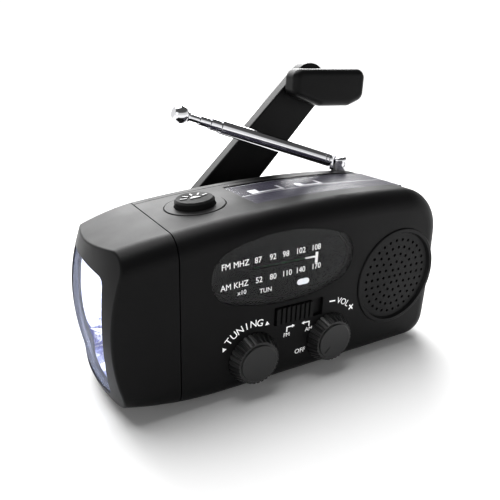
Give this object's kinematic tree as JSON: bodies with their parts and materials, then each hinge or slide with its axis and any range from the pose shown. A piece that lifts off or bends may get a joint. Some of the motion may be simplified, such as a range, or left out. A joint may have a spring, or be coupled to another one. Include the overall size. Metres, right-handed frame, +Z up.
{
  "type": "emergency radio",
  "caption": "Hand-crank and solar emergency radio with a lamp head, analogue dial, speaker, telescopic aerial and a geared crank on its back.",
  "frame": {"origin": "on the base, under the middle of the case's length and depth", "axes": "+X from the lamp head to the speaker end, -Y out of the dial face, +Z up"},
  "size_m": [0.1238, 0.0658, 0.097],
  "materials": {
    "case_black": "satin, very fine moulded texture",
    "trim_black": "satin",
    "knob_black": "satin, fluted",
    "crank_black": "satin",
    "rubber_black": "soft matte",
    "lens_clear": "clear",
    "window_clear": "smoked, polished",
    "dial_black": "printed in white",
    "pointer_white": "gloss",
    "light_white": "diffusing",
    "reflector_bright": "vacuum-metallised",
    "led_clear": "clear epoxy",
    "board_green": "solder mask",
    "component_black": "moulded",
    "steel": "bright",
    "chrome": "polished plating",
    "gear_white": "acetal",
    "cone_paper": "pressed paper",
    "ferrite": "sintered",
    "copper": "enamelled wire",
    "cell_violet": "silicon",
    "cover_clear": "clear coat",
    "battery_sleeve": "shrink sleeve"
  },
  "bodies": {
    "case": {"front_shell": "case_black", "rear_shell": "case_black", "lamp_head": "case_black", "case_screws": "steel", "lamp_lens": "lens_clear", "lamp_reflector": "reflector_bright", "lamp_leds": "led_clear", "lamp_board": "board_green", "dial_window": "window_clear", "dial_plate": "dial_black", "tuning_light": "light_white", "dial_rail": "component_black", "tuning_capacitor": "component_black", "volume_control": "component_black", "band_switch": "component_black", "speaker_grille": "trim_black", "speaker_frame": "steel", "speaker_cone": "cone_paper", "speaker_magnet": "ferrite", "solar_cell": "cell_violet", "solar_cover": "cover_clear", "button_ring": "trim_black", "button_switch": "component_black", "switch_bracket": "board_green", "main_board": "board_green", "battery": "battery_sleeve", "ferrite_rod": "ferrite", "ferrite_coil": "copper", "idler_axle": "steel", "gear_plate": "trim_black", "dynamo_case": "steel", "aerial_socket": "steel", "usb_socket": "steel", "micro_usb_socket": "steel", "socket_board": "board_green", "cover_pin": "steel"},
    "tuning_knob": {"tuning_knob": "knob_black"},
    "volume_knob": {"volume_knob": "knob_black"},
    "dial_pointer": {"dial_pointer": "pointer_white"},
    "band_slider": {"band_slider": "trim_black"},
    "lamp_button": {"lamp_button": "rubber_black"},
    "port_cover": {"port_cover": "rubber_black"},
    "crank": {"crank_shaft": "steel", "drive_gear": "gear_white", "crank_arm": "crank_black", "crank_screw": "steel", "grip_pin": "steel"},
    "crank_grip": {"crank_grip": "crank_black"},
    "idler": {"idler_gear": "gear_white"},
    "dynamo_rotor": {"dynamo_rotor": "steel", "dynamo_pinion": "gear_white"},
    "aerial_swivel": {"aerial_swivel": "chrome", "aerial_pin": "chrome"},
    "aerial_root": {"aerial_section_1": "chrome"},
    "aerial_2": {"aerial_section_2": "chrome"},
    "aerial_3": {"aerial_section_3": "chrome"},
    "aerial_4": {"aerial_section_4": "chrome", "aerial_tip": "chrome"}
  },
  "joints": [
    {"name": "crank_turn", "type": "hinge", "parent": "case", "child": "crank", "pos_m": [-0.018, 0.03, 0.0333], "axis": [0, 1, 0], "continuous": true},
    {"name": "idler_turn", "type": "hinge", "parent": "case", "child": "idler", "pos_m": [-0.00109, 0.0155, 0.02714], "axis": [0, 1, 0], "continuous": true},
    {"name": "dynamo_turn", "type": "hinge", "parent": "case", "child": "dynamo_rotor", "pos_m": [0.01141, 0.003, 0.02714], "axis": [0, 1, 0], "continuous": true},
    {"name": "grip_spin", "type": "hinge", "parent": "crank", "child": "crank_grip", "pos_m": [0.035, 0.028, 0.089], "axis": [0, 1, 0], "continuous": true},
    {"name": "tuning_turn", "type": "hinge", "parent": "case", "child": "tuning_knob", "pos_m": [-0.02, -0.024, 0.0122], "axis": [0, 1, 0], "range_deg": [-260, 8]},
    {"name": "pointer_slide", "type": "slide", "parent": "case", "child": "dial_pointer", "axis": [1, 0, 0], "range_m": [-0.0212, 0.00075]},
    {"name": "volume_turn", "type": "hinge", "parent": "case", "child": "volume_knob", "pos_m": [0.0087, -0.024, 0.0122], "axis": [0, 1, 0], "range_deg": [0, 280]},
    {"name": "band_slide", "type": "slide", "parent": "case", "child": "band_slider", "axis": [1, 0, 0], "range_m": [0, 0.0036]},
    {"name": "lamp_press", "type": "slide", "parent": "case", "child": "lamp_button", "axis": [0.1124, 0, -0.9937], "range_m": [0, 0.0012], "stiffness_N_per_m": 900, "springref_m": -0.0008},
    {"name": "aerial_turn", "type": "hinge", "parent": "case", "child": "aerial_swivel", "pos_m": [0.04, 0.0168, 0.0606], "axis": [0, 0, 1], "range_deg": [0, 180]},
    {"name": "aerial_tilt", "type": "hinge", "parent": "aerial_swivel", "child": "aerial_root", "pos_m": [0.04, 0.0168, 0.0606], "axis": [0, 1, 0], "range_deg": [-14.3, 74]},
    {"name": "aerial_slide_2", "type": "slide", "parent": "aerial_root", "child": "aerial_2", "axis": [-0.9578, 0, 0.2874], "range_m": [0, 0.042]},
    {"name": "aerial_slide_3", "type": "slide", "parent": "aerial_2", "child": "aerial_3", "axis": [-0.9578, 0, 0.2874], "range_m": [0, 0.042]},
    {"name": "aerial_slide_4", "type": "slide", "parent": "aerial_3", "child": "aerial_4", "axis": [-0.9578, 0, 0.2874], "range_m": [0, 0.042]},
    {"name": "cover_swing", "type": "hinge", "parent": "case", "child": "port_cover", "pos_m": [0.034, 0.02145, 0.0199], "axis": [1, 0, 0], "range_deg": [0, 100]}
  ],
  "couplings": [
    {"joint": "idler_turn", "follows": "crank_turn", "ratio": -4},
    {"joint": "dynamo_turn", "follows": "crank_turn", "ratio": 16},
    {"joint": "pointer_slide", "follows": "tuning_turn", "m_per_rad": 0.004628}
  ]
}
